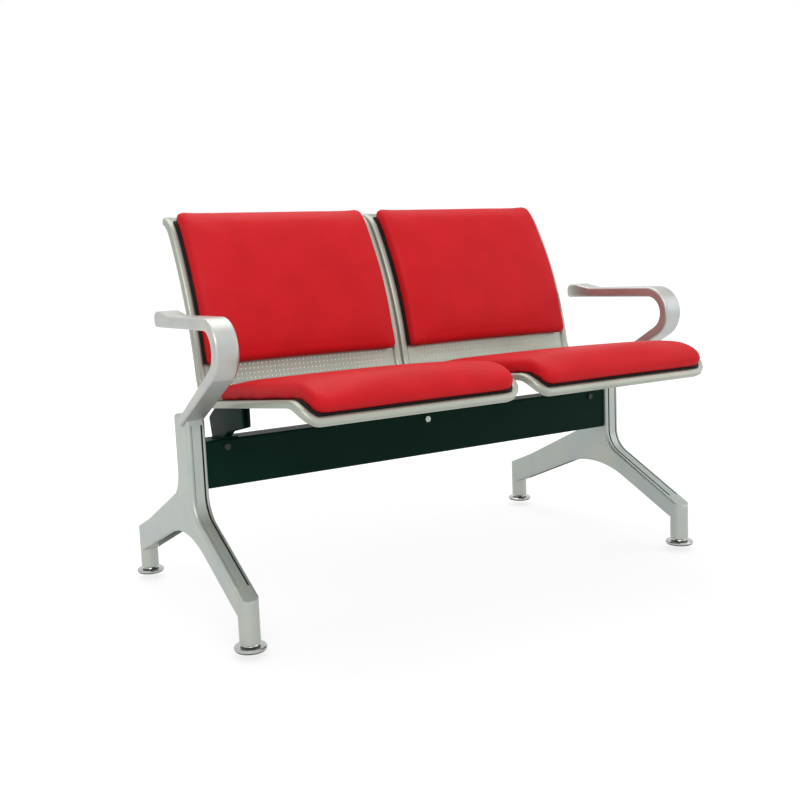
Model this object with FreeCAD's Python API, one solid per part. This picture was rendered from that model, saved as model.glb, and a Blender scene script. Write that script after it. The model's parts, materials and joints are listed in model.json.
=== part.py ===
"""Two-place beam seating: a steel beam on two cast legs, two padded seat shells and two hooked arms.

All sizes are in millimetres. X runs along the beam, -Y is the front and +Z is up.
The origin is on the floor, midway along the beam and midway between the front lip and the rear feet.
"""

import FreeCAD, Part
import math
import os

from FreeCAD import Vector

# Beam
BEAM_HEIGHT = 98.0
BEAM_DEPTH = 56.0
BEAM_WALL = 2.5
BEAM_CORNER = 5.0
BEAM_BOTTOM = 258.0
BEAM_CENTRE_Y = 20.0

# Legs
LEG_CENTRE_X = 557.0
LEG_WIDTH = 40.0
LEG_TOP = 412.0
LEG_EDGE = 6.0
LEG_WALL = 6.0
POST_DEPTH = 74.0
FRONT_FOOT_Y = -229.0
REAR_FOOT_Y = 357.0
FOOT_RADIUS = 20.0
FOOT_BOTTOM = 14.0
GROOVE_WIDTH = 4.0
GROOVE_DEPTH = 3.0
GROOVE_SPREAD = 11.0
SPIGOT_LENGTH = 70.0
SPIGOT_GAP = 0.2

# Levelling glides
GLIDE_RADIUS = 31.0
GLIDE_BASE = 3.0
GLIDE_RIM = 8.0
GLIDE_HUB_RADIUS = 15.0
GLIDE_HUB_TOP = 13.5
STEM_RADIUS = 5.0
STEM_TOP = 62.0
STEM_GAP = 0.05
INSERT_RADIUS = 8.0
INSERT_LENGTH = 22.0
BORE_TOP = 66.0

# Seats
SEAT_PITCH = 510.0
SEAT_HALF_WIDTH = 251.0
RIM_WIDTH = 14.0
FLANGE_DEPTH = 12.0
SHELL_WALL = 2.0
RECESS = 4.0
BOARD_THICKNESS = 6.5
BOARD_EDGE_GAP = 1.5
BOARD_INSET = 6.0
CORNER_RADIUS = 36.0
FRONT_NARROWING = 14.0
NARROWING_START_Y = 20.0
LIP_Y = -371.8
LIP_Z = 423.7
LIP_SLOPE = 68.0
LIP_RADIUS = 60.0
SEAT_SLOPE = 5.4
SEAT_FLAT = 336.0
CROOK_RADIUS = 58.0
BACK_LEAN_LOW = 9.0
BACK_LEAN_HIGH = 31.0
BACK_RADIUS = 854.0
CURL_RADIUS = 70.0
CURL_TURN = 64.0

# Cushions
PAD_HALF_WIDTH = 232.0
PAD_BASE = 4.4
SEAT_PAD_THICKNESS = 32.0
BACK_PAD_THICKNESS = 27.0
PAD_FRONT_RUN = 18.5
PAD_SHOULDER = 0.74
PAD_SHOULDER_INSET = 11.0
PAD_END_ROUNDING = 20.0
PAD_CORNER_RADIUS = 24.0
PAD_STATIONS = 14

# Arms
ARM_CENTRE_X = 560.5
ARM_WIDTH = 48.0
ARM_THICKNESS = 24.0
ARM_ROUNDING = 6.0
ARM_TOP = 610.0
ARM_REAR_Y = 118.0
ARM_CURL_Y = -154.0
ARM_CURL_RADIUS = 50.0
ARM_HEEL_LENGTH = 80.0
ARM_HEEL_RISE = 9.0
ARM_LIMB_SLOPE = 28.6
ARM_LIMB_END = 16.0
ARM_SHOULDER_Y = 5.0
TENON_WIDTH = 22.0
TENON_DEPTH = 13.0
TENON_BOTTOM = 345.0
TENON_GAP = 0.2

# Seat brackets
BRACKET_X = 481.0
BRACKET_BOLT_X = 478.0
BRACKET_WIDTH = 34.0
END_WEBS = (482.0, 496.0)
END_SEAT_BOLT_X = 472.0
BRACKET_PLATE = 4.0
BRACKET_FRONT_Y = -112.0
BRACKET_REAR_Y = 22.0
BRACKET_NOSE = 42.0
BRACKET_ELBOW = (22.0, 17.0)
MIDDLE_BRACKET_X = 48.0
TAB_BOTTOM = 322.0

# Fasteners
BOLT_RADIUS = 4.0
BOLT_HEAD_RADIUS = 7.5
BOLT_HEAD = 4.5
NUT_HEIGHT = 6.5
LEG_BOLT_LENGTH = 20.0
SCREW_RADIUS = 2.5
SCREW_HEAD_RADIUS = 5.5
SCREW_HEAD = 2.5
HOLE_GAP = 0.3

BEAM_TOP = BEAM_BOTTOM + BEAM_HEIGHT
BEAM_FRONT = BEAM_CENTRE_Y - BEAM_DEPTH / 2
BEAM_REAR = BEAM_CENTRE_Y + BEAM_DEPTH / 2
LEG_INNER_X = LEG_CENTRE_X - LEG_WIDTH / 2
LEG_OUTER_X = LEG_CENTRE_X + LEG_WIDTH / 2
POST_FRONT = BEAM_CENTRE_Y - POST_DEPTH / 2
POST_REAR = BEAM_CENTRE_Y + POST_DEPTH / 2
SHEET_TOP = -RECESS
SHEET_BOTTOM = -RECESS - SHELL_WALL
RIM_INNER = SEAT_HALF_WIDTH - RIM_WIDTH
LEG_BOLT_X = 490.0
BOLT_Z = 340.0
LOW_BOLT_Z = 274.0


def box(x0, x1, y0, y1, z0, z1):
    """A block between two corners."""
    return Part.makeBox(x1 - x0, y1 - y0, z1 - z0, Vector(x0, y0, z0))


def rod(radius, base, direction, length):
    """A plain round bar."""
    return Part.makeCylinder(radius, length, Vector(*base), Vector(*direction))


def joined(shapes):
    """Several touching or crossing solids as one, with no seams left between them."""
    first, *rest = shapes
    return first.fuse(rest).removeSplitter() if rest else first


def mirrored(shape):
    """The same piece at the other end of the beam."""
    return shape.mirror(Vector(0, 0, 0), Vector(1, 0, 0))


def rounded_face(corners):
    """A flat face from (point, radius) corners, each rounded by its radius."""
    trims = []
    for k, (here, radius) in enumerate(corners):
        before = corners[k - 1][0] - here
        after = corners[(k + 1) % len(corners)][0] - here
        before.normalize()
        after.normalize()
        half = before.getAngle(after) / 2
        setback = radius / math.tan(half)
        middle = (before + after).normalize() if radius else Vector()
        reach = radius / math.sin(half) - radius
        trims.append((here + before * setback, here + middle * reach, here + after * setback, radius))
    edges = []
    for k, (start, middle, end, radius) in enumerate(trims):
        if radius:
            edges.append(Part.Arc(start, middle, end).toShape())
        following = trims[(k + 1) % len(trims)][0]
        if end.distanceToPoint(following) > 1e-6:
            edges.append(Part.LineSegment(end, following).toShape())
    return Part.Face(Part.Wire(edges))


def side_prism(x0, x1, corners):
    """A side outline of (y, z, radius) corners carried across from x0 to x1."""
    face = rounded_face([(Vector(x0, y, z), radius) for y, z, radius in corners])
    return face.extrude(Vector(x1 - x0, 0, 0))


class Track:
    """A smooth line of straights and bends in a plane of constant X, with offsets to its left."""

    def __init__(self, start, heading, moves):
        self.parts = []
        place, angle, run = start, math.radians(heading), 0.0
        for radius, amount in moves:
            turn = 0.0 if radius is None else math.radians(amount)
            length = amount if radius is None else abs(turn) * radius
            self.parts.append((run, length, place, angle, turn))
            place, angle = self.walk(self.parts[-1], length)
            run += length
        self.length = run

    @staticmethod
    def walk(part, along):
        """The place and heading at a distance along one part."""
        _, length, (y, z), angle, turn = part
        if turn == 0:
            return (y + along * math.cos(angle), z + along * math.sin(angle)), angle
        later = angle + turn * along / length
        radius = length / turn
        across = radius * (math.sin(later) - math.sin(angle))
        rise = radius * (math.cos(angle) - math.cos(later))
        return (y + across, z + rise), later

    def point(self, run, offset, x=0.0):
        """A point beside the line."""
        inside = [part for part in self.parts if part[0] <= run] or self.parts[:1]
        (y, z), angle = self.walk(inside[-1], run - inside[-1][0])
        return Vector(x, y - offset * math.sin(angle), z + offset * math.cos(angle))

    def cuts(self, start, end):
        """The stretches of each part that lie between two distances."""
        found = []
        for part in self.parts:
            a, b = max(start, part[0]), min(end, part[0] + part[1])
            if b - a > 1e-6:
                found.append((part, a, b))
        return found

    def beside(self, part, run, offset, x):
        """A point beside one part of the line."""
        (y, z), angle = self.walk(part, run - part[0])
        return Vector(x, y - offset * math.sin(angle), z + offset * math.cos(angle))

    def edges(self, offset, start, end, x):
        """The offset line as edges."""
        made = []
        for part, a, b in self.cuts(start, end):
            first = self.beside(part, a, offset, x)
            last = self.beside(part, b, offset, x)
            if part[4] == 0:
                made.append(Part.LineSegment(first, last).toShape())
            else:
                made.append(Part.Arc(first, self.beside(part, (a + b) / 2, offset, x), last).toShape())
        return made

    def band(self, start, end, low, high, x0, x1):
        """A strip between two offsets, carried across from x0 to x1."""
        sides = self.edges(high, start, end, x0) + self.edges(low, start, end, x0)
        for run in (start, end):
            sides.append(Part.LineSegment(self.point(run, low, x0), self.point(run, high, x0)).toShape())
        wire = Part.Wire(Part.__sortEdges__(sides))
        return Part.Face(wire).extrude(Vector(x1 - x0, 0, 0))


# Moves everything forward or back so that the origin is midway between the cushions' front and the rear feet
ORIGIN_SHIFT_Y = -2.73

SEAT_LINE = Track(
    (LIP_Y, LIP_Z),
    LIP_SLOPE,
    [
        (LIP_RADIUS, -LIP_SLOPE - SEAT_SLOPE),
        (None, SEAT_FLAT),
        (CROOK_RADIUS, 90 + SEAT_SLOPE - BACK_LEAN_LOW),
        (BACK_RADIUS, BACK_LEAN_LOW - BACK_LEAN_HIGH),
        (CURL_RADIUS, -CURL_TURN),
    ],
)
LIP_END, FLAT_END, CROOK_END, BACK_END = [part[0] + part[1] for part in SEAT_LINE.parts[:4]]
SEAT_PAD_RUN = (PAD_FRONT_RUN, FLAT_END + 4.0)
BACK_PAD_RUN = (CROOK_END + 19.0, BACK_END + 40.0)

ARM_LINE = Track(
    (ARM_REAR_Y - ARM_HEEL_LENGTH, ARM_TOP - ARM_THICKNESS / 2),
    180.0,
    [
        (None, ARM_REAR_Y - ARM_HEEL_LENGTH - ARM_CURL_Y),
        (ARM_CURL_RADIUS, 180.0 - ARM_LIMB_SLOPE),
        (None, 240.0),
    ],
)


def plan_prism(x, half_width, front, radius):
    """An upright prism with the seat's plan shape: narrower towards the front, where its corners are round."""
    rear, low, high = 400.0, 300.0, 900.0
    side = [(half_width, rear, 0.0), (half_width, NARROWING_START_Y, 0.0)]
    side.append((half_width - FRONT_NARROWING, front, radius))
    left = [(Vector(x - across, y, low), r) for across, y, r in side]
    right = [(Vector(x + across, y, low), r) for across, y, r in side]
    return rounded_face(left + right[::-1]).extrude(Vector(0, 0, high - low))


def seat_shell(centre):
    """The pressed steel seat and back in one sheet, with a raised rim and a flange turned down all round."""
    end = SEAT_LINE.length
    wide, inner = SEAT_HALF_WIDTH, RIM_INNER
    front = LIP_Y - 1.0
    outer_plan = plan_prism(centre, wide, front, CORNER_RADIUS)
    lining_plan = plan_prism(centre, wide - SHELL_WALL, front + SHELL_WALL, CORNER_RADIUS - SHELL_WALL)
    inner_plan = plan_prism(centre, inner, front + 3.0, CORNER_RADIUS - RIM_WIDTH)
    step_plan = plan_prism(centre, inner + SHELL_WALL, front + SHELL_WALL, CORNER_RADIUS - RIM_WIDTH + SHELL_WALL)

    def across(start, stop, low, high, plan):
        return SEAT_LINE.band(start, stop, low, high, centre - wide - 1, centre + wide + 1).common(plan)

    blank = across(0, end, -FLANGE_DEPTH, 0, outer_plan)
    recess = across(RIM_WIDTH, end - RIM_WIDTH, -RECESS, 5.0, inner_plan)
    under_sheet = across(SHELL_WALL, end - SHELL_WALL, -FLANGE_DEPTH - 5.0, SHEET_BOTTOM, lining_plan)
    under_rim = across(CORNER_RADIUS, end - SHELL_WALL, SHEET_BOTTOM - 0.5, -SHELL_WALL, lining_plan.cut(step_plan))
    return blank.cut([recess, under_sheet, under_rim])


def pad_board(centre, start, end):
    """The thin backing board under a cushion, let into the shell's recess."""
    half = RIM_INNER - BOARD_EDGE_GAP
    board = SEAT_LINE.band(start, end, SHEET_TOP, SHEET_TOP + BOARD_THICKNESS, centre - half, centre + half)
    return board.common(plan_prism(centre, half, LIP_Y + 2.0 + BOARD_EDGE_GAP, CORNER_RADIUS - RIM_WIDTH - BOARD_EDGE_GAP))


def cushion_section(centre, run, half_width, height):
    """One closed outline across a cushion: flat base, bulging sides and a crowned top."""
    shoulder = PAD_BASE + height * PAD_SHOULDER
    inset = PAD_SHOULDER_INSET * height / SEAT_PAD_THICKNESS

    def placed(across, offset):
        return SEAT_LINE.point(run, offset, centre + across)

    foot = [placed(s * (half_width - 3.0), PAD_BASE) for s in (-1, 1)]
    bulge = [placed(s * half_width, PAD_BASE + 0.45 * height * PAD_SHOULDER) for s in (-1, 1)]
    edge = [placed(s * (half_width - inset), shoulder) for s in (-1, 1)]
    crown = placed(0.0, PAD_BASE + height)
    return Part.Wire([
        Part.LineSegment(foot[0], foot[1]).toShape(),
        Part.Arc(foot[1], bulge[1], edge[1]).toShape(),
        Part.Arc(edge[1], crown, edge[0]).toShape(),
        Part.Arc(edge[0], bulge[0], foot[0]).toShape(),
    ])


def cushion(centre, run, thickness):
    """A crowned cushion on the seat line, rounded at its ends and as wide as the seat allows."""
    start, end = run
    sections = []
    for k in range(PAD_STATIONS + 1):
        place = start + (end - start) * (0.5 - 0.5 * math.cos(math.pi * k / PAD_STATIONS))
        near_end = min(place - start, end - place)
        edge = max(0.0, 1 - (near_end + 1.5) / PAD_END_ROUNDING)
        height = thickness * (0.42 + 0.58 * math.sqrt(1 - edge ** 2))
        corner = max(0.0, 1 - near_end / PAD_CORNER_RADIUS)
        taper = PAD_CORNER_RADIUS * (1 - math.sqrt(1 - corner ** 2))
        forward = (NARROWING_START_Y - SEAT_LINE.point(place, 0).y) / (NARROWING_START_Y - LIP_Y)
        half_width = PAD_HALF_WIDTH - FRONT_NARROWING * max(0.0, forward) - taper
        sections.append(cushion_section(centre, place, half_width, height))
    return Part.makeLoft(sections, True, True)


def beam():
    """The rectangular steel tube, drilled for its bolts."""
    def tube(inset, radius, half_length):
        block = box(
            -half_length, half_length,
            BEAM_FRONT + inset, BEAM_REAR - inset,
            BEAM_BOTTOM + inset, BEAM_TOP - inset,
        )
        along = [e for e in block.Edges if e.BoundBox.XLength > 1]
        return block.makeFillet(radius, along)

    pipe = tube(0.0, BEAM_CORNER, LEG_INNER_X)
    pipe = pipe.cut(tube(BEAM_WALL, BEAM_CORNER - BEAM_WALL, LEG_INNER_X + 1))
    return pipe.cut([bolt_hole(*place) for place in leg_bolt_places() + bracket_bolt_places()])


def leg_bolt_places():
    """The bolts from the beam into the two legs' spigots, as head seat, direction and length."""
    places = []
    for x in (-LEG_BOLT_X, LEG_BOLT_X):
        places.append(((x, BEAM_FRONT, BOLT_Z), (0, 1, 0), LEG_BOLT_LENGTH))
        places.append(((x, BEAM_REAR, LOW_BOLT_Z), (0, -1, 0), LEG_BOLT_LENGTH))
    return places


def bracket_bolt_places():
    """The bolts of the brackets' rear tabs: short ones at the ends and one right through the middle."""
    rear = BEAM_REAR + BRACKET_PLATE
    places = [((x, rear, BOLT_Z), (0, -1, 0), LEG_BOLT_LENGTH) for x in (-BRACKET_BOLT_X, BRACKET_BOLT_X)]
    places.append(((0, BEAM_FRONT, BOLT_Z), (0, 1, 0), BEAM_DEPTH + BRACKET_PLATE + NUT_HEIGHT + 2.0))
    return places


def bolt_hole(seat, direction, length):
    """The clearance hole for one bolt."""
    return rod(BOLT_RADIUS + HOLE_GAP, seat, direction, length + 1.0)


def hexagon(base, axis, radius, height):
    """A hexagonal block standing on its base along its axis."""
    turn = FreeCAD.Rotation(Vector(0, 0, 1), axis)
    spokes = [Vector(math.cos(math.radians(60 * k)), math.sin(math.radians(60 * k)), 0) for k in range(7)]
    outline = Part.makePolygon([base + turn.multVec(spoke) * radius for spoke in spokes])
    return Part.Face(outline).extrude(axis * height)


def bolt(seat, direction, length, radius=BOLT_RADIUS, head_radius=BOLT_HEAD_RADIUS, head=BOLT_HEAD):
    """A hexagon-head bolt whose head rests on its seat."""
    axis = Vector(*direction)
    top = hexagon(Vector(*seat) - axis * head, axis, head_radius, head)
    return top.fuse(rod(radius, seat, axis, length))


def middle_nut():
    """The nut on the middle bolt, behind the middle bracket's tab."""
    seat = Vector(0, BEAM_REAR + BRACKET_PLATE, BOLT_Z)
    block = hexagon(seat, Vector(0, 1, 0), BOLT_HEAD_RADIUS, NUT_HEIGHT)
    return block.cut(rod(BOLT_RADIUS + STEM_GAP, seat, (0, 1, 0), NUT_HEIGHT))


def limb_height(y, offset):
    """The height of the arm's lower limb at a place beside its centre line."""
    start = ARM_LINE.beside(ARM_LINE.parts[2], ARM_LINE.parts[2][0], offset, 0)
    return start.z - (y - start.y) * math.tan(math.radians(ARM_LIMB_SLOPE))


LEG_CORNERS = [
    (POST_FRONT, 214.5, 60.0),
    (FRONT_FOOT_Y - FOOT_RADIUS, 95.0, 8.0),
    (FRONT_FOOT_Y - FOOT_RADIUS, 58.0, 0.0),
    (FRONT_FOOT_Y, 58.0, 0.0),
    (31.8, 187.0, 245.0),
    (REAR_FOOT_Y, 51.0, 0.0),
    (REAR_FOOT_Y + FOOT_RADIUS, 51.0, 0.0),
    (REAR_FOOT_Y + FOOT_RADIUS, 108.0, 8.0),
    (285.0, 145.0, 150.0),
    (POST_REAR, 254.0, 60.0),
    (POST_REAR, LEG_TOP, 9.0),
    (ARM_SHOULDER_Y, LEG_TOP, 0.0),
    (ARM_SHOULDER_Y, limb_height(ARM_SHOULDER_Y, -ARM_THICKNESS / 2), 0.0),
    (POST_FRONT, limb_height(POST_FRONT, -ARM_THICKNESS / 2), 0.0),
]
POCKET_CORNERS = [
    (-190.0, 30.0, 0.0),
    (-190.0, 117.0, 8.0),
    (-35.0, 197.0, 25.0),
    (85.0, 229.0, 25.0),
    (285.0, 133.0, 150.0),
    (322.0, 119.0, 8.0),
    (322.0, 30.0, 0.0),
]


def foot_axes():
    """The two glide axes under the right-hand leg."""
    return [(LEG_CENTRE_X, FRONT_FOOT_Y), (LEG_CENTRE_X, REAR_FOOT_Y)]


def leg_plan():
    """The leg seen from above: straight sides and a half round over each foot."""
    x0, x1 = LEG_INNER_X, LEG_OUTER_X
    edges = [
        Part.LineSegment(Vector(x0, REAR_FOOT_Y, 0), Vector(x0, FRONT_FOOT_Y, 0)),
        Part.Arc(
            Vector(x0, FRONT_FOOT_Y, 0),
            Vector(LEG_CENTRE_X, FRONT_FOOT_Y - FOOT_RADIUS, 0),
            Vector(x1, FRONT_FOOT_Y, 0),
        ),
        Part.LineSegment(Vector(x1, FRONT_FOOT_Y, 0), Vector(x1, REAR_FOOT_Y, 0)),
        Part.Arc(
            Vector(x1, REAR_FOOT_Y, 0),
            Vector(LEG_CENTRE_X, REAR_FOOT_Y + FOOT_RADIUS, 0),
            Vector(x0, REAR_FOOT_Y, 0),
        ),
    ]
    return Part.Face(Part.Wire([e.toShape() for e in edges])).extrude(Vector(0, 0, 500))


def leg_front_line():
    """The leg's front face as a line: down the post, round the bend and out along the front arm."""
    slope = math.degrees(math.atan2(LEG_CORNERS[0][1] - LEG_CORNERS[1][1], POST_FRONT - LEG_CORNERS[1][0]))
    turn = 90.0 - slope
    setback = LEG_CORNERS[0][2] * math.tan(math.radians(turn / 2))
    top = 392.0
    drop = top - LEG_CORNERS[0][1] - setback
    reach = (POST_FRONT - FRONT_FOOT_Y) / math.cos(math.radians(slope)) - setback - FOOT_RADIUS
    return Track((POST_FRONT, top), 270.0, [(None, drop), (LEG_CORNERS[0][2], -turn), (None, reach)])


def under_arch(spot):
    """Whether a place on the leg's outline is on the arch between its feet."""
    crest = LEG_CORNERS[4]
    return FRONT_FOOT_Y < spot.y < REAR_FOOT_Y and spot.z < crest[1] - 0.4 * abs(spot.y - crest[0]) + 8


def over_arms(spot):
    """Whether a place on the leg's outline is on the post or the arms, clear of the feet and the arm's notch."""
    in_notch = spot.y < ARM_SHOULDER_Y + 1 and spot.z > LEG_TOP - 22
    return FRONT_FOOT_Y < spot.y < REAR_FOOT_Y and not in_notch


def softened(body, chosen):
    """The leg with the chosen side edges rounded."""
    edges = [e for e in body.Edges if e.BoundBox.XLength < 1e-6 and chosen(e.CenterOfMass)]
    return body.makeFillet(LEG_EDGE, edges)


def leg():
    """The right-hand cast leg: post, two arms, two foot sockets and the spigot that fills the beam's end."""
    body = side_prism(LEG_INNER_X, LEG_OUTER_X, LEG_CORNERS)
    body = softened(body, under_arch)
    body = softened(body, lambda spot: over_arms(spot) and not under_arch(spot))
    body = body.common(leg_plan())
    half = LEG_WIDTH / 2 - LEG_WALL
    body = body.cut(side_prism(LEG_CENTRE_X - half, LEG_CENTRE_X + half, POCKET_CORNERS))
    front = leg_front_line()
    for side in (-1, 1):
        x = LEG_CENTRE_X + side * GROOVE_SPREAD
        half = GROOVE_WIDTH / 2
        body = body.cut(front.band(0, front.length, -1.0, GROOVE_DEPTH, x - half, x + half))
    body = body.fuse([rod(FOOT_RADIUS, (x, y, FOOT_BOTTOM), (0, 0, 1), 50.0) for x, y in foot_axes()])
    body = body.fuse(spigot()).removeSplitter()
    for x, y in foot_axes():
        body = body.cut(rod(INSERT_RADIUS, (x, y, FOOT_BOTTOM), (0, 0, 1), INSERT_LENGTH))
        body = body.cut(rod(STEM_RADIUS + 1.5, (x, y, FOOT_BOTTOM), (0, 0, 1), BORE_TOP - FOOT_BOTTOM))
    tenon_slot = tenon(TENON_GAP)
    bores = [rod(BOLT_RADIUS, *place) for place in leg_bolt_places() + bracket_bolt_places()]
    bores += [rod(SCREW_RADIUS + HOLE_GAP, *place) for place in arm_screw_places()]
    return body.cut([tenon_slot] + bores)


def spigot():
    """The hollow block on the leg that fits inside the beam's end."""
    inset = BEAM_WALL + SPIGOT_GAP
    wall = 8.0
    x0 = LEG_INNER_X - SPIGOT_LENGTH
    block = box(
        x0, LEG_INNER_X + LEG_WALL,
        BEAM_FRONT + inset, BEAM_REAR - inset, BEAM_BOTTOM + inset, BEAM_TOP - inset,
    )
    along = [e for e in block.Edges if e.BoundBox.XLength > 1]
    inset += wall
    hollow = box(
        x0 - 1, LEG_INNER_X - wall,
        BEAM_FRONT + inset, BEAM_REAR - inset, BEAM_BOTTOM + inset, BEAM_TOP - inset,
    )
    return block.makeFillet(3.0, along).cut(hollow)


def tenon(gap):
    """The arm's tenon inside the post, or its slot when a gap is given."""
    y1 = ARM_SHOULDER_Y - 4.0
    half = TENON_WIDTH / 2 + gap
    return box(
        LEG_CENTRE_X - half, LEG_CENTRE_X + half,
        y1 - TENON_DEPTH - gap, y1 + gap, TENON_BOTTOM - gap, limb_height(y1, 0),
    )


def arm_screw_places():
    """The screws that hold the arm's tenon from behind the post."""
    length = POST_REAR - ARM_SHOULDER_Y + 10.0
    return [((LEG_CENTRE_X, POST_REAR, z), (0, -1, 0), length) for z in (TENON_BOTTOM + 10, TENON_BOTTOM + 30)]


def arm_heel(x0, x1):
    """The thicker, rounded free end of the arm."""
    bottom = ARM_TOP - ARM_THICKNESS
    crest = ARM_TOP + ARM_HEEL_RISE
    return side_prism(x0, x1, [
        (ARM_REAR_Y, bottom, 9.0),
        (ARM_REAR_Y, crest, 13.0),
        (ARM_REAR_Y - 0.4 * ARM_HEEL_LENGTH, crest, 60.0),
        (ARM_REAR_Y - ARM_HEEL_LENGTH, ARM_TOP, 0.0),
        (ARM_REAR_Y - ARM_HEEL_LENGTH, bottom, 0.0),
    ])


def arm_limb(x0, x1):
    """The arm's lower limb, which gets thinner towards the post."""
    half = ARM_THICKNESS / 2
    start, end = ARM_LINE.parts[2][0], ARM_LINE.length
    corners = [(start, -half), (start, half), (end, ARM_LIMB_END - half), (end, -half)]
    outline = [ARM_LINE.point(run, offset, x0) for run, offset in corners]
    return Part.Face(Part.makePolygon(outline + outline[:1])).extrude(Vector(x1 - x0, 0, 0))


def armrest():
    """The right-hand arm: one bar bent into a hook, with a tenon that drops into the post."""
    x0, x1 = ARM_CENTRE_X - ARM_WIDTH / 2, ARM_CENTRE_X + ARM_WIDTH / 2
    half = ARM_THICKNESS / 2
    bar = ARM_LINE.band(0, ARM_LINE.parts[2][0], -half, half, x0, x1)
    bar = joined([bar, arm_limb(x0, x1), arm_heel(x0, x1)])
    tail = ARM_LINE.point(ARM_LINE.length, 0)
    sides = [e for e in bar.Edges if e.BoundBox.YLength + e.BoundBox.ZLength > 1]
    sides = [e for e in sides if e.CenterOfMass.distanceToPoint(Vector(e.CenterOfMass.x, tail.y, tail.z)) > half]
    bar = bar.makeFillet(ARM_ROUNDING, sides)
    bar = bar.cut(box(x0 - 1, x1 + 1, ARM_SHOULDER_Y, 400.0, 200.0, 500.0))
    bar = bar.fuse(tenon(0.0)).removeSplitter()
    return bar.cut([rod(SCREW_RADIUS, *place) for place in arm_screw_places()])


def seat_run(y):
    """The distance along the seat line at a place on the seat's flat."""
    flat = SEAT_LINE.parts[1]
    return flat[0] + (y - flat[2][0]) / math.cos(math.radians(SEAT_SLOPE))


def cradle(x0, x1, web_centres):
    """Two upright webs under a plate that carries the seat's sheet."""
    low = SHEET_BOTTOM - BRACKET_PLATE
    runs = seat_run(BRACKET_FRONT_Y), seat_run(BRACKET_REAR_Y)
    plate = SEAT_LINE.band(*runs, low, SHEET_BOTTOM, x0, x1)
    front, rear = [SEAT_LINE.point(run, low + 1.0) for run in runs]
    corners = [
        (front.y, front.z, 0.0),
        (rear.y, rear.z, 0.0),
        (BEAM_REAR + 14.0, rear.z - 26.0, 8.0),
        (BEAM_REAR + BRACKET_PLATE, BEAM_TOP + 1.0, 0.0),
        (BEAM_FRONT, BEAM_TOP + 1.0, 0.0),
        (BEAM_FRONT - BRACKET_ELBOW[0], BEAM_TOP + BRACKET_ELBOW[1], 6.0),
        (front.y, front.z - BRACKET_NOSE, 5.0),
    ]
    half = BRACKET_PLATE / 2
    return [plate] + [side_prism(x - half, x + half, corners) for x in web_centres]


def saddle(x0, x1):
    """The folded plate that sits on the beam, with a tab down its rear."""
    cap = box(x0, x1, BEAM_FRONT, BEAM_REAR + BRACKET_PLATE, TAB_BOTTOM, BEAM_TOP + BRACKET_PLATE)
    return cap.cut(box(x0 - 1, x1 + 1, BEAM_FRONT - 1, BEAM_REAR, TAB_BOTTOM - 1, BEAM_TOP))


def seat_bracket(cradles, x0, x1):
    """A welded seat bracket: one saddle and a cradle for each centre and its two webs."""
    shapes = [saddle(x0, x1)]
    for centre, web_centres in cradles:
        shapes += cradle(centre - BRACKET_WIDTH / 2, centre + BRACKET_WIDTH / 2, web_centres)
    holes = [bolt_hole(*place) for place in bracket_bolt_places() + seat_bolt_places()]
    return joined(shapes).cut(holes)


def normal_places(xs, runs, offset, length):
    """Fasteners driven square into the seat line's sheet from underneath."""
    places = []
    for x in xs:
        for run in runs:
            seat = SEAT_LINE.point(run, offset, x)
            direction = SEAT_LINE.point(run, offset + 1.0, x) - seat
            places.append((tuple(seat), tuple(direction), length))
    return places


def seat_bolt_places():
    """Two bolts up through each cradle plate into the seat's sheet."""
    offset = SHEET_BOTTOM - BRACKET_PLATE
    xs = -END_SEAT_BOLT_X, -MIDDLE_BRACKET_X, MIDDLE_BRACKET_X, END_SEAT_BOLT_X
    runs = seat_run(BRACKET_FRONT_Y + 25.0), seat_run(BRACKET_REAR_Y - 20.0)
    return normal_places(xs, runs, offset, SHEET_TOP - offset - 0.2)


def pad_screw_places(centre):
    """Two screws into each backing board of one seat."""
    xs = (centre - 150.0, centre + 150.0)
    runs = (sum(SEAT_PAD_RUN) / 2, sum(BACK_PAD_RUN) / 2)
    return normal_places(xs, runs, SHEET_BOTTOM - 0.05, SHELL_WALL + BOARD_THICKNESS - 0.3)


def turned(points):
    """A solid of revolution about Z from (radius, height) points."""
    wire = Part.makePolygon([Vector(r, 0, z) for r, z in points + points[:1]])
    return Part.Face(wire).revolve(Vector(), Vector(0, 0, 1), 360)


def glide():
    """A levelling glide's steel disc, hub and stem, standing at the origin."""
    disc = turned([
        (0, GLIDE_BASE),
        (GLIDE_RADIUS, GLIDE_BASE),
        (GLIDE_RADIUS, GLIDE_RIM - 2.0),
        (GLIDE_RADIUS - 2.0, GLIDE_RIM),
        (GLIDE_HUB_RADIUS + 2.0, GLIDE_RIM + 1.5),
        (GLIDE_HUB_RADIUS, GLIDE_HUB_TOP),
        (STEM_RADIUS, GLIDE_HUB_TOP),
        (STEM_RADIUS, STEM_TOP),
        (0, STEM_TOP),
    ])
    return disc


def glide_base():
    """The plastic ring under a glide's disc."""
    return turned([
        (0, 0),
        (GLIDE_RADIUS - 2.5, 0),
        (GLIDE_RADIUS - 1.0, 1.5),
        (GLIDE_RADIUS - 1.0, GLIDE_BASE),
        (0, GLIDE_BASE),
    ])


def foot_insert():
    """The threaded steel bush in a foot socket."""
    bush = rod(INSERT_RADIUS, (0, 0, FOOT_BOTTOM), (0, 0, 1), INSERT_LENGTH)
    return bush.cut(rod(STEM_RADIUS + STEM_GAP, (0, 0, 0), (0, 0, 1), 80))


def export(name, shapes):
    """Write one node, a single solid or a group of separate solids."""
    solids = [s for shape in shapes for s in shape.Solids]
    bad = [s for s in solids if not s.isValid()]
    shape = solids[0] if len(solids) == 1 else Part.makeCompound(solids)
    shape.translate(Vector(0, ORIGIN_SHIFT_Y, 0))
    shape.exportStep(f"parts/{name}.step")
    print(f"{name}: {len(solids)} solids, {shape.Volume / 1000:.1f} cm3{', INVALID' if bad else ''}")


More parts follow.
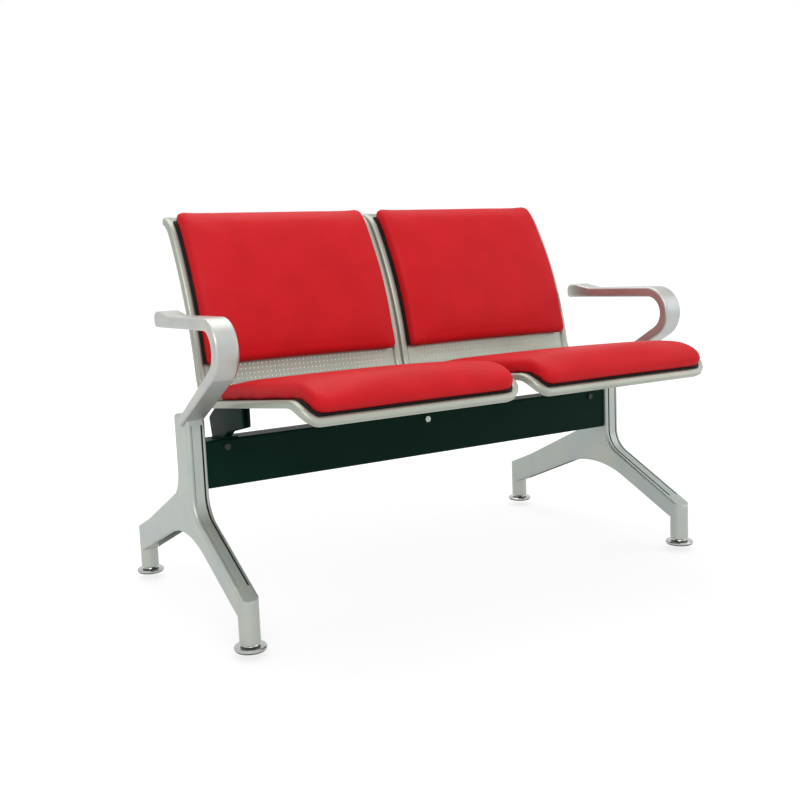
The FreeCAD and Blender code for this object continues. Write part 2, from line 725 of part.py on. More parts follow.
def build():
    """Make every node."""
    os.makedirs("parts", exist_ok=True)
    export("beam", [beam()])
    right_leg, right_arm = leg(), armrest()
    export("leg_right", [right_leg])
    export("leg_left", [mirrored(right_leg)])
    export("armrest_right", [right_arm])
    export("armrest_left", [mirrored(right_arm)])

    half = BRACKET_WIDTH / 2
    middle_reach = MIDDLE_BRACKET_X + half
    right_bracket = seat_bracket([(BRACKET_X, END_WEBS)], BRACKET_X - half, BRACKET_X + half)
    export("seat_bracket_right", [right_bracket])
    export("seat_bracket_left", [mirrored(right_bracket)])
    web_reach = half - BRACKET_PLATE / 2
    middle = [(x, (x - web_reach, x + web_reach)) for x in (-MIDDLE_BRACKET_X, MIDDLE_BRACKET_X)]
    export("seat_bracket_middle", [seat_bracket(middle, -middle_reach, middle_reach)])

    pad_screws = []
    for side, centre in (("left", -SEAT_PITCH / 2), ("right", SEAT_PITCH / 2)):
        screws = pad_screw_places(centre)
        pilots = [rod(SCREW_RADIUS, *place) for place in screws]
        clear = [rod(SCREW_RADIUS + HOLE_GAP, *place) for place in screws]
        bolts = [bolt_hole(*place) for place in seat_bolt_places()]
        export(f"seat_shell_{side}", [seat_shell(centre).cut(clear + bolts)])
        seat_board = pad_board(centre, RIM_WIDTH + BOARD_EDGE_GAP, SEAT_PAD_RUN[1] - BOARD_INSET)
        back_board = pad_board(centre, BACK_PAD_RUN[0] + BOARD_INSET, BACK_PAD_RUN[1] - BOARD_INSET)
        export(f"seat_board_{side}", [seat_board.cut(pilots)])
        export(f"back_board_{side}", [back_board.cut(pilots)])
        export(f"seat_pad_{side}", [cushion(centre, SEAT_PAD_RUN, SEAT_PAD_THICKNESS)])
        export(f"back_pad_{side}", [cushion(centre, BACK_PAD_RUN, BACK_PAD_THICKNESS)])
        pad_screws += [bolt(*place, SCREW_RADIUS, SCREW_HEAD_RADIUS, SCREW_HEAD) for place in screws]

    inserts = []
    for side, sign in (("left", -1), ("right", 1)):
        for end, (x, y) in zip(("front", "rear"), foot_axes()):
            spot = Vector(sign * x, y, 0)
            export(f"glide_{end}_{side}", [glide().translated(spot)])
            export(f"glide_base_{end}_{side}", [glide_base().translated(spot)])
            inserts.append(foot_insert().translated(spot))
    export("foot_inserts", inserts)

    export("leg_bolts", [bolt(*p) for p in leg_bolt_places()])
    export("bracket_bolts", [bolt(*p) for p in bracket_bolt_places()] + [middle_nut()])
    export("seat_bolts", [bolt(*p) for p in seat_bolt_places()])
    arm_screws = [bolt(*p, SCREW_RADIUS, SCREW_HEAD_RADIUS, SCREW_HEAD) for p in arm_screw_places()]
    export("arm_screws", arm_screws + [mirrored(s) for s in arm_screws])
    export("pad_screws", pad_screws)


if __name__ == "__main__":
    build()
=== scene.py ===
import json
import math

import bmesh
import bpy
import numpy
from mathutils import Matrix, Vector


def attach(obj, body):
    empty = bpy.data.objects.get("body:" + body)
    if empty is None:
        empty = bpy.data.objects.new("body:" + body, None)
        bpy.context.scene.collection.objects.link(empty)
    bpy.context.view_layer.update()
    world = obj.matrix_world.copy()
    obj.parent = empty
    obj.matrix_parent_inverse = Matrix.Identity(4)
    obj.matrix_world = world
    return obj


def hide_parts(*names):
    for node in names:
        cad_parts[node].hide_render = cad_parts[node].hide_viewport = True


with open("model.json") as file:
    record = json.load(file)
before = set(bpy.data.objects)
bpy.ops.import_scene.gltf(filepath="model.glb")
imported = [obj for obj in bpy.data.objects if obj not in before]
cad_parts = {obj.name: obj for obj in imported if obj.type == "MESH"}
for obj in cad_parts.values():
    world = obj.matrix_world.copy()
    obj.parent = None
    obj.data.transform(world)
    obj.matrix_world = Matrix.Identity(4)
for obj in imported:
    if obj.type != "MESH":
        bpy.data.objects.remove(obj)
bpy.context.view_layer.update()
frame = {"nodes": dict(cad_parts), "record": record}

MM = 0.001

# The part's own sizes that the modelled pieces repeat, in millimetres and degrees
ORIGIN_SHIFT_Y = -2.73
SEAT_PITCH = 510.0
SEAT_HALF_WIDTH = 251.0
FRONT_NARROWING = 14.0
NARROWING_START_Y = 20.0
FLANGE_DEPTH = 12.0
SHELL_WALL = 2.0
RECESS = 4.0
CORNER_RADIUS = 36.0
FRONT_CORNER_RUN = 51.0
TOP_CORNER_RADIUS = 26.0
LIP_PLACE = (-371.8, 423.7)
LIP_SLOPE = 68.0
SEAT_SLOPE = 5.4
LEG_CENTRE_X = 557.0
POST_FRONT = -17.0
GROOVE_TOP = 392.0
GROOVE_SPREAD = 11.0

# The seat's side line from its front lip, and a groove's line from its top,
# as (bend radius, degrees to the left) or (None, length)
SEAT_MOVES = [
    (60.0, -LIP_SLOPE - SEAT_SLOPE),
    (None, 336.0),
    (58.0, 86.4),
    (854.0, -22.0),
    (70.0, -64.0),
]
GROOVE_MOVES = [(None, 140.9), (60.0, -62.75), (None, 181.9)]

# The camera, fitted to the photograph of 800 by 800 pixels
CAMERA_PLACE = (-1.2113, -1.81513, 0.679)
CAMERA_YAW = 28.1
CAMERA_PITCH = -6.6
CAMERA_ROLL = -2.9
FOCAL_PIXELS = 962.6
CENTRE_PIXEL = (329.1, 384.9)
PHOTO_PIXELS = 800
SENSOR_WIDTH = 36.0

# The floor lies just under the glides' full reach, so that it never hides their discs
FLOOR_LEVEL = -0.0155
FLOOR_SIZE = 40.0
WORLD_LIGHT = 0.5
WORLD_SEEN = 1.0

# Each light's name, place, target, size and power
LIGHTS = [
    ("key", (-1.5, -2.3, 2.6), (0, 0, 0.4), 1.8, 39.0),
    ("fill", (2.4, -1.8, 1.6), (0, 0, 0.4), 2.0, 12.0),
    ("low", (-2.4, -2.4, 0.4), (0.1, 0, 0.3), 1.6, 6.0),
    ("top", (0.2, 0.8, 2.8), (0, 0, 0.5), 2.2, 26.0),
]


def track(place, heading, moves):
    """A line of straights and bends as stretches: start, length, place, heading and turn."""
    stretches, run = [], 0.0
    for radius, amount in moves:
        turn = math.radians(amount) if radius else 0.0
        length = abs(turn) * radius if radius else amount
        stretches.append((run, length, place, heading, turn))
        place, heading = walk(stretches[-1], length)
        run += length
    return stretches


def walk(stretch, along):
    """The place and heading at a distance along one stretch."""
    _, length, (y, z), heading, turn = stretch
    if not turn:
        return (y + along * math.cos(heading), z + along * math.sin(heading)), heading
    later = heading + turn * along / length
    radius = length / turn
    return (
        y + radius * (math.sin(later) - math.sin(heading)),
        z + radius * (math.cos(heading) - math.cos(later)),
    ), later


SEAT_LINE = track(LIP_PLACE, math.radians(LIP_SLOPE), SEAT_MOVES)
_, FLAT_END, CROOK_END, BACK_END, LINE_END = [stretch[0] + stretch[1] for stretch in SEAT_LINE]


def side_place(run):
    """The (y, z) place and heading on the seat line at a run."""
    stretch = [s for s in SEAT_LINE if s[0] <= run][-1] if run > 0 else SEAT_LINE[0]
    return walk(stretch, run - stretch[0])


def narrowing(y):
    """How far each side of the seat comes in at a place, in millimetres."""
    front = LIP_PLACE[0]
    return FRONT_NARROWING * max(0.0, (NARROWING_START_Y - y) / (NARROWING_START_Y - front))


def seat_spot(centre, run, across, offset, half_width=SEAT_HALF_WIDTH):
    """A point above the seat line, in metres: across runs from -half_width to half_width."""
    (y, z), heading = side_place(run)
    across *= 1 - narrowing(y) / half_width
    y -= offset * math.sin(heading)
    z += offset * math.cos(heading)
    return Vector((centre + across, y + ORIGIN_SHIFT_Y, z)) * MM


def make_camera():
    """The photograph's viewpoint."""
    yaw, pitch, roll = (math.radians(a) for a in (CAMERA_YAW, CAMERA_PITCH, CAMERA_ROLL))
    ahead = Vector((math.sin(yaw) * math.cos(pitch), math.cos(yaw) * math.cos(pitch), math.sin(pitch)))
    right = ahead.cross(Vector((0, 0, 1))).normalized()
    up = right.cross(ahead)
    across = right * math.cos(roll) + up * math.sin(roll)
    upward = up * math.cos(roll) - right * math.sin(roll)
    data = bpy.data.cameras.new("camera")
    data.sensor_width = SENSOR_WIDTH
    data.lens = FOCAL_PIXELS / PHOTO_PIXELS * SENSOR_WIDTH
    data.shift_x = (PHOTO_PIXELS / 2 - CENTRE_PIXEL[0]) / PHOTO_PIXELS
    data.shift_y = (CENTRE_PIXEL[1] - PHOTO_PIXELS / 2) / PHOTO_PIXELS
    camera = bpy.data.objects.new("camera", data)
    turn = Matrix((across, upward, -ahead)).transposed().to_4x4()
    camera.matrix_world = Matrix.Translation(CAMERA_PLACE) @ turn
    bpy.context.collection.objects.link(camera)
    bpy.context.scene.camera = camera


def area_light(name, place, target, size, power):
    """A square soft light aimed at a point."""
    data = bpy.data.lights.new(name, "AREA")
    data.size = size
    data.energy = power
    light = bpy.data.objects.new(name, data)
    light.location = place
    light.rotation_euler = (Vector(target) - Vector(place)).to_track_quat("-Z", "Y").to_euler()
    bpy.context.collection.objects.link(light)


def shown_factor(nodes, links):
    """One where the ray comes from the camera, a reflection or a transmission."""
    path = nodes.new("ShaderNodeLightPath")
    factor = path.outputs["Is Camera Ray"]
    for kind in ("Is Glossy Ray", "Is Transmission Ray"):
        either = nodes.new("ShaderNodeMath")
        either.operation = "MAXIMUM"
        links.new(factor, either.inputs[0])
        links.new(path.outputs[kind], either.inputs[1])
        factor = either.outputs[0]
    return factor


def use_both(nodes, links, lighting, shown, out):
    """Light the object with one shader, and show the other to the camera and in reflections."""
    mix = nodes.new("ShaderNodeMixShader")
    links.new(shown_factor(nodes, links), mix.inputs[0])
    links.new(lighting, mix.inputs[1])
    links.new(shown, mix.inputs[2])
    links.new(mix.outputs[0], out.inputs["Surface"])


def make_studio():
    """A white floor, a white world and four soft lights."""
    bpy.ops.mesh.primitive_plane_add(size=FLOOR_SIZE, location=(0, 0, FLOOR_LEVEL))
    floor = bpy.context.object
    floor.name = "floor"
    floor.data.materials.append(white_floor())
    world = bpy.data.worlds.new("studio")
    bpy.context.scene.world = world
    world.use_nodes = True
    nodes, links = world.node_tree.nodes, world.node_tree.links
    nodes.clear()
    lit, seen = (nodes.new("ShaderNodeBackground") for _ in range(2))
    for shader, strength in ((lit, WORLD_LIGHT), (seen, WORLD_SEEN)):
        shader.inputs["Color"].default_value = (1, 1, 1, 1)
        shader.inputs["Strength"].default_value = strength
    use_both(nodes, links, lit.outputs[0], seen.outputs[0], nodes.new("ShaderNodeOutputWorld"))
    for light in LIGHTS:
        area_light(*light)
    bpy.context.scene.view_settings.view_transform = "Standard"


def new_material(name):
    """An empty node material with its shader and output."""
    material = bpy.data.materials.new(name)
    material.use_nodes = True
    nodes, links = material.node_tree.nodes, material.node_tree.links
    nodes.clear()
    out = nodes.new("ShaderNodeOutputMaterial")
    shader = nodes.new("ShaderNodeBsdfPrincipled")
    links.new(shader.outputs[0], out.inputs["Surface"])
    return material, nodes, links, shader


def white_floor():
    """A matt white floor that looks white, and keeps a faint shadow of the bench."""
    material, nodes, links, shader = new_material("floor_white")
    shader.inputs["Base Color"].default_value = (0.8, 0.8, 0.8, 1)
    shader.inputs["Roughness"].default_value = 0.9
    shader.inputs["Specular IOR Level"].default_value = 0.0
    shade = nodes.new("ShaderNodeBsdfDiffuse")
    shade.inputs["Color"].default_value = (0.28, 0.28, 0.28, 1)
    place = nodes.new("ShaderNodeTexCoord")
    distance = nodes.new("ShaderNodeVectorMath")
    distance.operation = "LENGTH"
    links.new(place.outputs["Object"], distance.inputs[0])
    fade = nodes.new("ShaderNodeMapRange")
    for name, value in (("From Min", 0.6), ("From Max", 1.6), ("To Min", 0.79), ("To Max", 1.0)):
        fade.inputs[name].default_value = value
    links.new(distance.outputs["Value"], fade.inputs["Value"])
    glow = nodes.new("ShaderNodeEmission")
    links.new(fade.outputs["Result"], glow.inputs["Strength"])
    shown = nodes.new("ShaderNodeAddShader")
    links.new(shade.outputs[0], shown.inputs[0])
    links.new(glow.outputs[0], shown.inputs[1])
    out = next(node for node in nodes if node.type == "OUTPUT_MATERIAL")
    use_both(nodes, links, shader.outputs[0], shown.outputs[0], out)
    return material


TONE_DRIFT = (-0.6, 1.6)
TONE_DETAIL = 4.0
GLOSS_SCALE = 25.0
GLOSS_DETAIL = 5.0
BUMP_DETAIL = 2.0
BUMP_HEIGHT = 0.0005
COVER_TONES = (0.56, 0.008, 0.013), (0.64, 0.010, 0.016)
COVER_TONE_SCALE = 14.0
COVER_GRAIN_SCALE = 620.0
COVER_GRAIN_STRENGTH = 0.22
COVER_GRAIN_HEIGHT = 0.0004


def noise(nodes, links, scale, detail):
    """Object-space noise as a 0 to 1 factor."""
    place = nodes.new("ShaderNodeTexCoord")
    texture = nodes.new("ShaderNodeTexNoise")
    texture.inputs["Scale"].default_value = scale
    texture.inputs["Detail"].default_value = detail
    links.new(place.outputs["Object"], texture.inputs["Vector"])
    return texture.outputs["Fac"]


def ranged(nodes, links, factor, low, high):
    """A factor spread between two values."""
    spread = nodes.new("ShaderNodeMapRange")
    spread.inputs["To Min"].default_value = low
    spread.inputs["To Max"].default_value = high
    links.new(factor, spread.inputs["Value"])
    return spread.outputs["Result"]


def bumped(nodes, links, shader, height, strength, distance):
    """Bump from a height."""
    bump = nodes.new("ShaderNodeBump")
    bump.inputs["Strength"].default_value = strength
    bump.inputs["Distance"].default_value = distance
    links.new(height, bump.inputs["Height"])
    links.new(bump.outputs["Normal"], shader.inputs["Normal"])


def two_toned(nodes, links, shader, first, second, scale):
    """Base colour that drifts between two tones."""
    tone = nodes.new("ShaderNodeMix")
    tone.data_type = "RGBA"
    tone.inputs[6].default_value = (*first, 1)
    tone.inputs[7].default_value = (*second, 1)
    spread = ranged(nodes, links, noise(nodes, links, scale, TONE_DETAIL), *TONE_DRIFT)
    links.new(spread, tone.inputs[0])
    links.new(tone.outputs[2], shader.inputs["Base Color"])


def finish(name, first, second, rough, metallic, specular=0.5, bump=(300.0, 0.05), tone_scale=9.0):
    """A metal, paint or plastic with drifting colour, uneven gloss and a fine bump."""
    material, nodes, links, shader = new_material(name)
    two_toned(nodes, links, shader, first, second, tone_scale)
    shader.inputs["Metallic"].default_value = metallic
    shader.inputs["Specular IOR Level"].default_value = specular
    gloss = ranged(nodes, links, noise(nodes, links, GLOSS_SCALE, GLOSS_DETAIL), *rough)
    links.new(gloss, shader.inputs["Roughness"])
    bump_scale, bump_strength = bump
    height = noise(nodes, links, bump_scale, BUMP_DETAIL)
    bumped(nodes, links, shader, height, bump_strength, BUMP_HEIGHT)
    return material


def red_cover():
    """Red coated cover with a fine grain and slight unevenness over the foam."""
    material, nodes, links, shader = new_material("red_cover")
    two_toned(nodes, links, shader, *COVER_TONES, COVER_TONE_SCALE)
    shader.inputs["Roughness"].default_value = 0.55
    shader.inputs["Specular IOR Level"].default_value = 0.16
    grain = nodes.new("ShaderNodeTexVoronoi")
    place = nodes.new("ShaderNodeTexCoord")
    grain.inputs["Scale"].default_value = COVER_GRAIN_SCALE
    links.new(place.outputs["Object"], grain.inputs["Vector"])
    bumped(nodes, links, shader, grain.outputs["Distance"], COVER_GRAIN_STRENGTH, COVER_GRAIN_HEIGHT)
    return material


# Each slot's two tones, roughness range, metallic, specular, bump scale and strength, and tone scale
FINISHES = {
    "black_paint": ((0.001, 0.016, 0.009), (0.002, 0.021, 0.013), (0.38, 0.52), 0.0, 0.06, (420.0, 0.12)),
    "black_bolt": ((0.03, 0.035, 0.032), (0.05, 0.06, 0.055), (0.35, 0.5), 0.6, 0.3),
    "polished_casting": ((0.47, 0.49, 0.43), (0.41, 0.46, 0.45), (0.36, 0.48), 0.7, 0.4, (90.0, 0.02), 12.0),
    "chromed_arm": ((0.54, 0.54, 0.48), (0.44, 0.46, 0.47), (0.34, 0.46), 0.7, 0.4, (90.0, 0.02), 16.0),
    "silver_paint": ((0.36, 0.39, 0.33), (0.42, 0.44, 0.38), (0.32, 0.45), 0.55, 0.4, (700.0, 0.08)),
    "chromed_glide": ((0.40, 0.41, 0.39), (0.50, 0.51, 0.50), (0.10, 0.20), 0.95),
    "black_plastic": ((0.010, 0.009, 0.009), (0.018, 0.016, 0.016), (0.5, 0.65), 0.0, 0.2, (500.0, 0.1)),
    "zinc_steel": ((0.36, 0.40, 0.37), (0.46, 0.48, 0.45), (0.3, 0.45), 0.9),
}


def paint_nodes():
    """Give every CAD node its slot's material, and return the materials by slot."""
    made = {}
    for row in frame["record"]["subparts"]:
        slot = row["material_slot"]
        if slot not in made:
            made[slot] = red_cover() if slot == "red_cover" else finish(slot, *FINISHES[slot])
        node = frame["nodes"][row["node"]]
        for place in node.material_slots:
            place.material = made[slot]
        if not node.material_slots:
            node.data.materials.append(made[slot])
    return made


def mesh_object(name, points, faces, material, smooth=True):
    """A new mesh object."""
    mesh = bpy.data.meshes.new(name)
    mesh.from_pydata([tuple(p) for p in points], [], faces)
    mesh.validate()
    made = bpy.data.objects.new(name, mesh)
    bpy.context.collection.objects.link(made)
    mesh.materials.append(material)
    if smooth:
        shade_smooth(mesh)
    return made


def shade_smooth(mesh):
    """Smooth shading on every face."""
    mesh.polygons.foreach_set("use_smooth", [True] * len(mesh.polygons))


def applied(piece):
    """Turn the piece's modifiers into plain mesh."""
    graph = bpy.context.evaluated_depsgraph_get()
    mesh = bpy.data.meshes.new_from_object(piece.evaluated_get(graph))
    old = piece.data
    piece.modifiers.clear()
    piece.data = mesh
    mesh.name = old.name
    bpy.data.meshes.remove(old)


def border_spots(rows, columns):
    """The edge spots of a grid in order, all the way round."""
    spots = [(r, 0) for r in range(rows)] + [(rows, c) for c in range(columns)]
    return spots + [(r, columns) for r in range(rows, 0, -1)] + [(0, c) for c in range(columns, 0, -1)]


def band(low, high):
    """The faces between two closed rings of points."""
    following = [(k + 1) % len(low) for k in range(len(low))]
    return [(low[k], low[n], high[n], high[k]) for k, n in enumerate(following)]


def rounded_place(u, v, u_max, v_half, inset, low_corner, high_corner):
    """Where a point on the edge of a rectangle goes on a rounded outline that lies inset from it."""
    corner = low_corner if u < u_max / 2 else high_corner
    end = 0.0 if u < u_max / 2 else u_max
    inward = 1 if end == 0.0 else -1
    from_end = (u - end) * inward
    from_side = v_half - abs(v)
    sign = 1 if v > 0 else -1
    reach_u = max(0.0, corner[0] - from_end)
    reach_v = max(0.0, corner[1] - from_side)
    if reach_u and reach_v:
        angle = math.atan2(reach_v / corner[1], reach_u / corner[0])
        u = end + inward * (corner[0] - (corner[0] - inset) * math.cos(angle))
        v = sign * (v_half - corner[1] + (corner[1] - inset) * math.sin(angle))
        return u, v
    if reach_u >= reach_v and from_end < 1e-6:
        return end + inward * inset, v
    return u, sign * (v_half - inset)


# The rim's section as (distance in from the edge, height): flange, round edge, flat rim and step
SHELL_PROFILE = [
    (0.0, -FLANGE_DEPTH),
    (0.0, -4.0),
    (0.6, -1.6),
    (2.0, -0.3),
    (4.0, 0.0),
    (9.2, 0.0),
    (11.2, -0.4),
    (12.7, -1.6),
    (13.7, -3.2),
    (15.2, -RECESS),
]
SHELL_CORNERS = (FRONT_CORNER_RUN, CORNER_RADIUS), (TOP_CORNER_RADIUS, TOP_CORNER_RADIUS)
HOLE_PITCH = 10.0
HOLE_RADIUS = 1.2
HOLE_MARGIN = 3
SHARP_ANGLE = 40.0


def holed_cell(corners, ring):
    """The faces between a square cell's four corners and the eight points of its hole."""
    faces = []
    for side in range(4):
        start, stop = corners[side], corners[(side + 1) % 4]
        first, second, third = (ring[(2 * side + k) % 8] for k in range(3))
        faces += [(start, stop, second, first), (stop, third, second)]
    return faces


def shell_skin(name, centre, material):
    """One pressed sheet: a perforated field inside a stepped rim with a flange turned down all round."""
    depth = SHELL_PROFILE[-1][0]
    rows = round((LINE_END - 2 * depth) / HOLE_PITCH)
    columns = round(2 * (SEAT_HALF_WIDTH - depth) / HOLE_PITCH)
    runs = [depth + (LINE_END - 2 * depth) * r / rows for r in range(rows + 1)]
    sides = [(depth - SEAT_HALF_WIDTH) + 2 * (SEAT_HALF_WIDTH - depth) * c / columns for c in range(columns + 1)]
    border = border_spots(rows, columns)
    points, faces = [], []

    def add(run, across, offset):
        points.append(seat_spot(centre, run, across, offset))
        return len(points) - 1

    def edge(r, c, inset):
        u = 0.0 if r == 0 else LINE_END if r == rows else runs[r]
        v = -SEAT_HALF_WIDTH if c == 0 else SEAT_HALF_WIDTH if c == columns else sides[c]
        return rounded_place(u, v, LINE_END, SEAT_HALF_WIDTH, inset, *SHELL_CORNERS)

    def hole(r, c):
        run, across = (runs[r] + runs[r + 1]) / 2, (sides[c] + sides[c + 1]) / 2
        angles = [math.radians(-157.5 + 45 * k) for k in range(8)]
        return [add(run + HOLE_RADIUS * math.sin(a), across + HOLE_RADIUS * math.cos(a), -RECESS) for a in angles]

    rings = [[add(*edge(r, c, inset), height) for r, c in border] for inset, height in SHELL_PROFILE]
    for ring, inner in zip(rings, rings[1:]):
        faces += band(ring, inner)
    grid = dict(zip(border, rings[-1]))
    for r in range(1, rows):
        for c in range(1, columns):
            grid[(r, c)] = add(runs[r], sides[c], -RECESS)
    for r in range(rows):
        for c in range(columns):
            corners = [grid[(r, c)], grid[(r, c + 1)], grid[(r + 1, c + 1)], grid[(r + 1, c)]]
            if HOLE_MARGIN <= r < rows - HOLE_MARGIN and HOLE_MARGIN <= c < columns - HOLE_MARGIN:
                faces += holed_cell(corners, hole(r, c))
            else:
                faces.append(tuple(corners))
    skin = mesh_object(name, points, faces, material)
    solid = skin.modifiers.new("thickness", "SOLIDIFY")
    solid.thickness = SHELL_WALL * MM
    solid.offset = -1.0
    applied(skin)
    skin.data.set_sharp_from_angle(angle=math.radians(SHARP_ANGLE))
    return skin


# The cushions' covers, which overhang the boards' ends and start just below the boards' tops
COVER_HALF_WIDTH = 235.0
COVER_BASE = 2.0
SEAT_COVER_HEIGHT = 34.4
BACK_COVER_HEIGHT = 29.4
SEAT_COVER_RUN = (15.0, FLAT_END + 5.0)
BACK_COVER_RUN = (CROOK_END + 17.5, BACK_END + 41.5)
COVER_CORNER = (14.0, 14.0)
SEAT_FRONT_CORNER = (30.0, 24.0)

# A cushion before it swells: its sides' pull between the corners, their section and the top's crown
PAD_PULL = 1.5
PAD_WAIST = 0.45
PAD_FOOT_INSET = 2.0
PAD_TOP_INSET = 11.0
PAD_SIDE_SHARE = 0.84
PAD_CROWN_SHARE = 0.10
PAD_LAYERS = (0.0, 0.12, 0.28, 0.45, 0.62, 0.78, 0.9, 0.97, 1.0)
PAD_ROWS = 40
PAD_COLUMNS = 44

# The swelling, in millimetres, frames and rounds of evening
SWELL_VOXEL = 5.0
SWELL_PRESSURE = 4.0
SWELL_FRAMES = 20
SWELL_LIMIT = 6.0
SWELL_EVENING = 60
HELD_HEIGHT = 2.0
LINE_SAMPLES = 60


def pad_section(height_share):
    """How far a cushion's side comes in at a share of its height: full at the waist, rounded over at the top."""
    if height_share < PAD_WAIST:
        return PAD_FOOT_INSET * (1 - height_share / PAD_WAIST) ** 2
    return PAD_TOP_INSET * (1 - math.sqrt(1 - ((height_share - PAD_WAIST) / (1 - PAD_WAIST)) ** 2))


def pad_blank(name, centre, run_range, thickness, low_corner, high_corner, material):
    """A cushion before it swells: a closed slab on the seat line with full sides and a low crown."""
    start, end = run_range
    length, half = end - start, COVER_HALF_WIDTH
    rows, columns = PAD_ROWS, PAD_COLUMNS
    border = border_spots(rows, columns)
    points, faces = [], []

    def add(u, v, offset):
        points.append(seat_spot(centre, start + u, v, offset, COVER_HALF_WIDTH))
        return len(points) - 1

    def edge(r, c, inset):
        pull = PAD_PULL * math.sin(math.pi * (r / rows if c in (0, columns) else c / columns))
        return rounded_place(
            length * r / rows, -half + 2 * half * c / columns, length, half, inset + pull, low_corner, high_corner)

    def cap(share, ring):
        inset = pad_section(share)
        top = share > 0.5
        made = dict(zip(border, ring))
        for r in range(1, rows):
            for c in range(1, columns):
                u = inset + (length - 2 * inset) * r / rows
                v = (half - inset) * (2 * c / columns - 1)
                rise = (math.sin(math.pi * r / rows) * math.sin(math.pi * c / columns)) ** 0.5 if top else 0.0
                height = thickness * (PAD_SIDE_SHARE * share + PAD_CROWN_SHARE * rise)
                made[(r, c)] = add(u, v, COVER_BASE + height)
        return made

    rings = []
    for share in PAD_LAYERS:
        inset = pad_section(share)
        offset = COVER_BASE + thickness * PAD_SIDE_SHARE * share
        rings.append([add(*edge(r, c, inset), offset) for r, c in border])
    bottom, top = cap(0.0, rings[0]), cap(1.0, rings[-1])
    for r in range(rows):
        for c in range(columns):
            spots = (r, c), (r, c + 1), (r + 1, c + 1), (r + 1, c)
            faces.append(tuple(top[s] for s in spots))
            faces.append(tuple(bottom[s] for s in spots[::-1]))
    for low, high in zip(rings, rings[1:]):
        faces += band(low, high)
    slab = mesh_object(name, points, faces, material)
    work = bmesh.new()
    work.from_mesh(slab.data)
    bmesh.ops.recalc_face_normals(work, faces=work.faces)
    work.to_mesh(slab.data)
    work.free()
    return slab


def hold_base(piece, run_range):
    """Group the vertices that the board holds, and those that are free to swell."""
    held = piece.vertex_groups.new(name="held")
    free = piece.vertex_groups.new(name="free")
    line = []
    for k in range(LINE_SAMPLES + 1):
        (y, z), heading = side_place(run_range[0] + (run_range[1] - run_range[0]) * k / LINE_SAMPLES)
        line.append((y + ORIGIN_SHIFT_Y, z, heading))
    for vertex in piece.data.vertices:
        y, z = vertex.co.y / MM, vertex.co.z / MM
        near = min(line, key=lambda spot: (spot[0] - y) ** 2 + (spot[1] - z) ** 2)
        height = -(y - near[0]) * math.sin(near[2]) + (z - near[1]) * math.cos(near[2])
        group = held if height < COVER_BASE + HELD_HEIGHT else free
        group.add([vertex.index], 1.0, "REPLACE")


def blown_up(piece):
    """Where the vertices go when the piece is blown up as cloth."""
    cloth = piece.modifiers.new("cloth", "CLOTH")
    settings = cloth.settings
    settings.quality = 5
    settings.mass = 0.3
    settings.use_pressure = True
    settings.uniform_pressure_force = SWELL_PRESSURE
    settings.effector_weights.gravity = 0.0
    settings.vertex_group_mass = "held"
    scene = bpy.context.scene
    scene.frame_start, scene.frame_end = 1, SWELL_FRAMES
    for frame_number in range(1, SWELL_FRAMES + 1):
        scene.frame_set(frame_number)
    graph = bpy.context.evaluated_depsgraph_get()
    places = numpy.array([v.co for v in piece.evaluated_get(graph).data.vertices])
    piece.modifiers.clear()
    scene.frame_set(1)
    return places


def swell(piece, run_range):
    """Blow the cushion up as cloth with its base held, then add that swelling, limited and evened out."""
    voxels = piece.modifiers.new("voxels", "REMESH")
    voxels.mode = "VOXEL"
    voxels.voxel_size = SWELL_VOXEL * MM
    applied(piece)
    mesh = piece.data
    hold_base(piece, run_range)
    before = numpy.array([v.co for v in mesh.vertices])
    steps = blown_up(piece) - before
    lengths = numpy.linalg.norm(steps, axis=1, keepdims=True)
    steps *= numpy.minimum(1.0, SWELL_LIMIT * MM / numpy.maximum(lengths, 1e-9))
    edges = numpy.array([e.vertices[:] for e in mesh.edges])
    joined = numpy.bincount(edges.ravel(), minlength=len(before))[:, None]
    for _ in range(SWELL_EVENING):
        around = numpy.zeros_like(steps)
        numpy.add.at(around, edges[:, 0], steps[edges[:, 1]])
        numpy.add.at(around, edges[:, 1], steps[edges[:, 0]])
        steps = 0.5 * steps + 0.5 * around / joined
    mesh.vertices.foreach_set("co", (before + steps).ravel())
    even = piece.modifiers.new("even", "SMOOTH")
    even.factor, even.iterations, even.vertex_group = 0.5, 5, "free"
    applied(piece)
    piece.vertex_groups.clear()


def pad_twin(name, piece, shift):
    """The same pad on the other seat."""
    twin = bpy.data.objects.new(name, piece.data.copy())
    bpy.context.collection.objects.link(twin)
    for vertex in twin.data.vertices:
        vertex.co.x += shift * MM
    return twin


def finished_pad(piece):
    """One subdivision and smooth shading."""
    finer = piece.modifiers.new("finer", "SUBSURF")
    finer.levels = finer.render_levels = 1
    applied(piece)
    shade_smooth(piece.data)


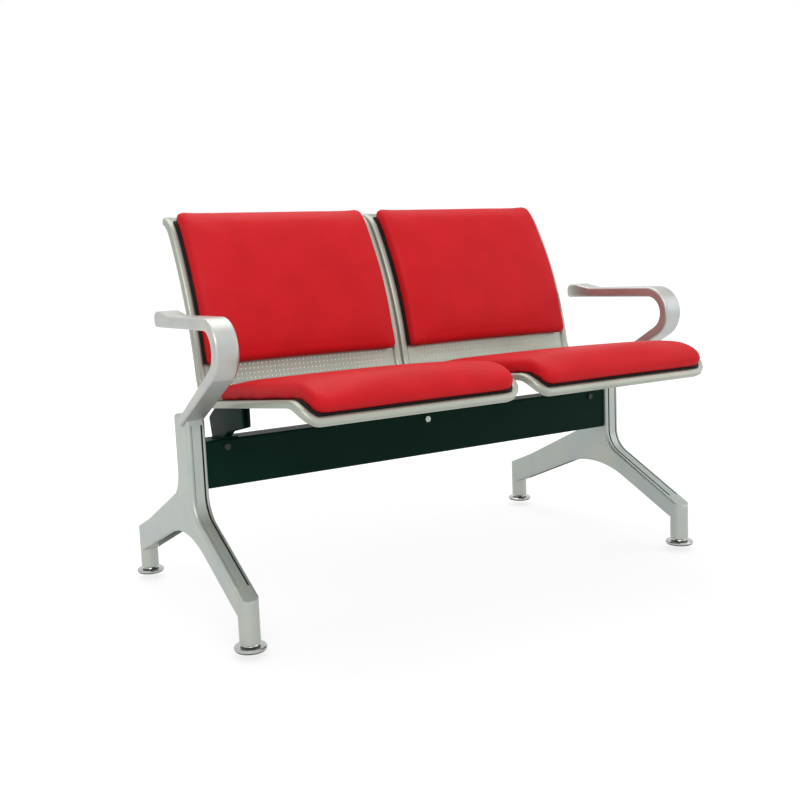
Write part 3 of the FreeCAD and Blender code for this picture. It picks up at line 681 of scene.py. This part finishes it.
def make_seats(materials):
    """Shell skins and cushions for both places."""
    left, right = -SEAT_PITCH / 2, SEAT_PITCH / 2
    for side, centre in (("left", left), ("right", right)):
        skin = shell_skin(f"shell_skin_{side}", centre, materials["silver_paint"])
        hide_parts(f"seat_shell_{side}")
        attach(skin, "bench")
    kinds = (
        ("seat", SEAT_COVER_RUN, SEAT_COVER_HEIGHT, SEAT_FRONT_CORNER),
        ("back", BACK_COVER_RUN, BACK_COVER_HEIGHT, COVER_CORNER),
    )
    for kind, run_range, thickness, low_corner in kinds:
        pad = pad_blank(
            f"{kind}_cushion_left", left, run_range, thickness, low_corner, COVER_CORNER, materials["red_cover"])
        swell(pad, run_range)
        twin = pad_twin(f"{kind}_cushion_right", pad, SEAT_PITCH)
        for side, piece in (("left", pad), ("right", twin)):
            finished_pad(piece)
            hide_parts(f"{kind}_pad_{side}")
            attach(piece, "bench")


# A dark strip's section in its groove, as (across, depth under the front face), and its points round a bend; the
# strip is painted shade standing for the groove's shadow
SHADE_STRIP_SECTION = [(-1.8, 2.9), (-1.8, 0.9), (0.0, 0.5), (1.8, 0.9), (1.8, 2.9)]
BEND_STEPS = 16


def groove_shade_strips(material):
    """A dark strip along the inner of the two grooves in each leg's front face: painted shade for the shadow in
    that groove.
    """
    spots = []
    for stretch in track((POST_FRONT, GROOVE_TOP), math.radians(270.0), GROOVE_MOVES):
        _, length, _, _, turn = stretch
        steps = BEND_STEPS if turn else 1
        spots += [walk(stretch, length * k / steps) for k in range(steps + 1)]
    corners = len(SHADE_STRIP_SECTION)
    for side, sign in (("left", -1), ("right", 1)):
        points, faces = [], []
        x = sign * (LEG_CENTRE_X - GROOVE_SPREAD)
        for (y, z), angle in spots:
            for across, depth in SHADE_STRIP_SECTION:
                ahead = y - depth * math.sin(angle) + ORIGIN_SHIFT_Y
                points.append(Vector((x + across, ahead, z + depth * math.cos(angle))) * MM)
        rings = [range(start, start + corners) for start in range(0, len(points), corners)]
        for ring, following in zip(rings, rings[1:]):
            faces += band(ring, following)
        faces += [tuple(rings[0]), tuple(rings[-1])]
        # Painted shade: a dark piece laid in the groove where there is only the groove's shadow
        shade_strip = mesh_object(f"groove_shade_strip_{side}", points, faces, material, smooth=False)
        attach(shade_strip, "bench")


make_camera()
make_studio()
materials = paint_nodes()
make_seats(materials)
# Dark strips in the legs' inner grooves, painted shade for the grooves' shadow
groove_shade_strips(materials["black_plastic"])
